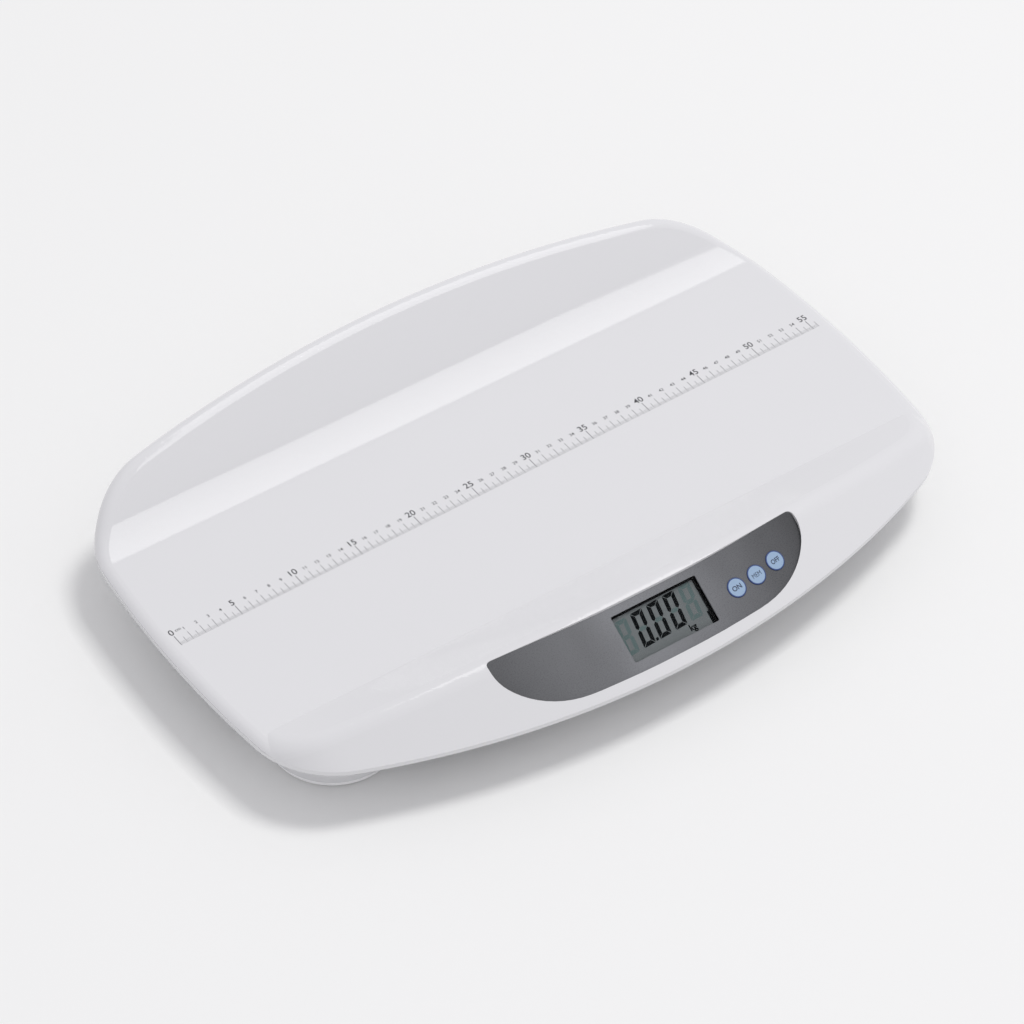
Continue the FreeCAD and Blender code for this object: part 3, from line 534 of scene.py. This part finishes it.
bm = bmesh.new()
for x, w in DIG:
    seg_digit(bm, (x, V_TOP), (x + w, V_TOP), (x - LEAN, V_BOT), (x + w - LEAN, V_BOT), "g")
for x in (-32.2, 22.9):
    seg_digit(bm, (x, V_TOP), (x + 9.9, V_TOP), (x - LEAN, V_BOT), (x + 9.9 - LEAN, V_BOT), "abcdefg")
new_obj("lcd_idle_digits", bm, GHOST, "body")

# black ring between the shelf and the cell glass: painted shade standing in for the shadow in the window recess
bm = bmesh.new()
go = [(-37.5, -19.6), (40.5, -19.6), (40.5, 19.6), (-37.5, 19.6)]
gi = [(-35.4, -18.4), (35.4, -18.4), (35.4, 16.3), (-35.4, 16.3)]
for d0, d1 in ((4.02, 4.78),):
    ring = [[bm.verts.new(loc(a, b, d) * MM) for a, b in p] for p, d in ((go, d0), (gi, d0), (gi, d1), (go, d1))]
    for a, b in ((0, 1), (1, 2), (2, 3), (3, 0)):
        for i in range(4):
            j = (i + 1) % 4
            bm.faces.new((ring[a][i], ring[a][j], ring[b][j], ring[b][i]))
bmesh.ops.recalc_face_normals(bm, faces=bm.faces)
new_obj("window_shade_ring", bm, WINDOW_SHADE_INK, "body")

# words on the button caps, riding with their caps
LAB = [("button_on", "ON", 3.5, 1.0, 0.02), ("button_memory", "MEM", 3.3, 0.84, 0.0),
       ("button_off", "OFF", 3.3, 0.92, 0.02)]
for i, (body, word, size, sq, wt) in enumerate(LAB):
    x, y = BTN_X[i], BTN_Y[i]
    v = (y - LCD_Y) / math.cos(PANEL)
    c = loc(x, v, face_depth(x, v, 0.6))
    ph = math.asin(x / math.hypot(x, y - Y_AXIS))
    nn = Vector((math.sin(PANEL) * math.sin(ph), -math.sin(PANEL) * math.cos(ph), math.cos(PANEL)))
    tx = Vector((math.cos(ph), math.sin(ph), 0))
    ty = nn.cross(tx)
    bm = bmesh.new()
    lettering(bm, word, size, c - nn * 0.03, tx, ty, nn * 0.07, squeeze=sq, weight=wt)
    new_obj(body + "_word", bm, INK_BTN, body)

# ------------------------------------------------------------------
# floor, light, camera
# ------------------------------------------------------------------
bm = bmesh.new()
bmesh.ops.create_grid(bm, x_segments=1, y_segments=1, size=9.0)
me = bpy.data.meshes.new("studio_floor")
bm.to_mesh(me)
bm.free()
floor = bpy.data.objects.new("studio_floor", me)
bpy.context.scene.collection.objects.link(floor)
fl = Tree("floor_paper")
nf = fl.noise(3.0, 2.0)
# painted shade: floor base colour darkens along (0.62, 0.78) toward the lights to cancel their falloff, plus a faint
# noise mottle
drift = fl.math("ADD", fl.remap(fl.dot(fl.co, (0.62, 0.78, 0.0)), -1.2, 1.5, 0.0, 0.9), fl.math("MULTIPLY", nf, 0.1))
fl.link(fl.mix(drift, (0.896, 0.898, 0.889), (0.834, 0.836, 0.825)), fl.b.inputs["Base Color"])
fl.link(fl.remap(fl.noise(800.0), 0.3, 0.7, 0.85, 0.95), fl.b.inputs["Roughness"])
fl.b.inputs["Specular IOR Level"].default_value = 0.0
me.materials.append(fl.mat)

world = bpy.data.worlds.new("studio")
bpy.context.scene.world = world
world.use_nodes = True
bg = world.node_tree.nodes["Background"]
bg.inputs["Color"].default_value = (0.972, 0.965, 1.0, 1)
bg.inputs["Strength"].default_value = 0.70


def area(name, pos, size, power, target=(0, 0, 0.05), color=(1, 1, 1)):
    li = bpy.data.lights.new(name, "AREA")
    li.shape = "RECTANGLE"
    li.size, li.size_y = size
    li.energy = power
    li.color = color
    o = bpy.data.objects.new(name, li)
    bpy.context.scene.collection.objects.link(o)
    o.location = pos
    d = Vector(target) - Vector(pos)
    o.rotation_euler = d.to_track_quat("-Z", "Y").to_euler()
    return o


# large soft source high on the right: it gives the shadows
key = area("soft_key", (2.65, 0.0, 6.0), (1.5, 1.9), 1.0, (0.0, 0.0, 0.05), (1.0, 0.998, 0.99))
key.data.energy = 18.6 * math.pi * 1.5 * 1.9
key.visible_glossy = False

# bright folded card overhead, seen only as the white reflection on the gloss shell
CARD = [
    [(0.30, -0.95, 2.0), (0.48, -1.17, 2.0), (0.68, -1.17, 2.0), (0.76, -1.06, 2.0), (1.20, -1.06, 2.0),
     (1.36, -0.51, 2.0), (1.62, 0.0, 2.0), (0.30, 0.0, 2.0)],
    [(0.30, 0.0, 2.0), (1.62, 0.0, 2.0), (3.30, 2.92, 4.0), (0.70, 2.92, 4.0)],
]
bm = bmesh.new()
for face in CARD:
    bm.faces.new([bm.verts.new(p) for p in face])
bmesh.ops.remove_doubles(bm, verts=bm.verts, dist=1e-4)
me = bpy.data.meshes.new("light_card")
bm.to_mesh(me)
bm.free()
card = bpy.data.objects.new("light_card", me)
bpy.context.scene.collection.objects.link(card)
cm = Tree("card_cloth")
em = cm.node("ShaderNodeEmission")
em.inputs["Color"].default_value = (1.0, 1.0, 1.0, 1)
cm.link(cm.remap(cm.noise(40.0, 2.0), 0.3, 0.7, 3.0, 3.2), em.inputs["Strength"])
cm.link(em.outputs[0], cm.out.inputs["Surface"])
cm.t.nodes.remove(cm.b)
me.materials.append(cm.mat)
card.visible_camera = False
card.visible_diffuse = False
card.visible_shadow = False
card.visible_transmission = False

cam_data = bpy.data.cameras.new("view")
cam_data.lens = 161.84
cam_data.sensor_width = 36.0
cam_data.sensor_fit = "HORIZONTAL"
cam_data.clip_start = 0.05
cam_data.clip_end = 60.0
cam = bpy.data.objects.new("view", cam_data)
bpy.context.scene.collection.objects.link(cam)
cp = Vector((-1.3285, -1.8928, 2.3412))
ct = Vector((-0.0180, -0.0063, 0.048))
z = (cp - ct).normalized()
x = Vector((0, 0, 1)).cross(z).normalized()
y = z.cross(x)
cam.matrix_world = Matrix(((x.x, y.x, z.x, cp.x), (x.y, y.y, z.y, cp.y), (x.z, y.z, z.z, cp.z), (0, 0, 0, 1)))
bpy.context.scene.camera = cam

vs = bpy.context.scene.view_settings
vs.view_transform = "Standard"
vs.look = "None"
vs.exposure = 0.0
vs.gamma = 1.0
